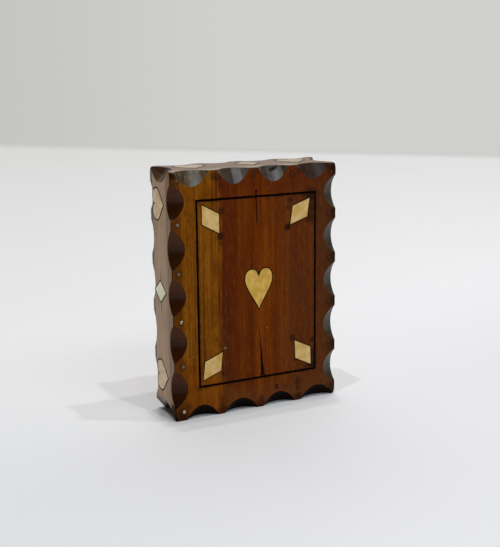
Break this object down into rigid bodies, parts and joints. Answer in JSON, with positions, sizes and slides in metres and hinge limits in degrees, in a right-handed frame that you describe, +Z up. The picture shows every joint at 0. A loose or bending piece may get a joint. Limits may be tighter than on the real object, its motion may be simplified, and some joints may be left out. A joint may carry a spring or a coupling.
{
  "type": "snuff box",
  "caption": "Small upright mahogany snuff box with scalloped edges, bone heart and lozenge inlay, a black line border, brass pins and a lift-off back.",
  "frame": {"origin": "middle of the underside, where the box stands on its short end", "axes": "+Z up along the box's height, the inlaid front faces -Y, the lift-off back faces +Y, +X to the right as seen from the front"},
  "size_m": [0.0668, 0.0183, 0.09],
  "materials": {
    "mahogany": "old glossy varnish over mahogany, golden brown at the left of the front",
    "bone": "aged polished bone, satin",
    "black_line": "black stained inlaid line",
    "brass": "dull aged brass"
  },
  "bodies": {
    "root": {"back_lid": "mahogany", "border_line": "black_line", "bottom_rail": "mahogany", "front_board": "mahogany", "front_heart": "bone", "front_lozenge_bottom_left": "bone", "front_lozenge_bottom_right": "bone", "front_lozenge_top_left": "bone", "front_lozenge_top_right": "bone", "left_heart_bottom": "bone", "left_heart_top": "bone", "left_lozenge": "bone", "left_side": "mahogany", "pin_bottom_1": "brass", "pin_bottom_2": "brass", "pin_bottom_3": "brass", "pin_left_1": "brass", "pin_left_2": "brass", "pin_left_3": "brass", "pin_left_4": "brass", "pin_left_bottom": "brass", "pin_left_top": "brass", "pin_right_1": "brass", "pin_right_2": "brass", "pin_right_3": "brass", "pin_right_4": "brass", "pin_right_bottom": "brass", "pin_right_top": "brass", "pin_top_1": "brass", "pin_top_2": "brass", "pin_top_3": "brass", "right_heart_bottom": "bone", "right_heart_top": "bone", "right_lozenge": "bone", "right_side": "mahogany", "top_heart_left": "bone", "top_heart_right": "bone", "top_lozenge": "bone", "top_rail": "mahogany"}
  },
  "joints": []
}
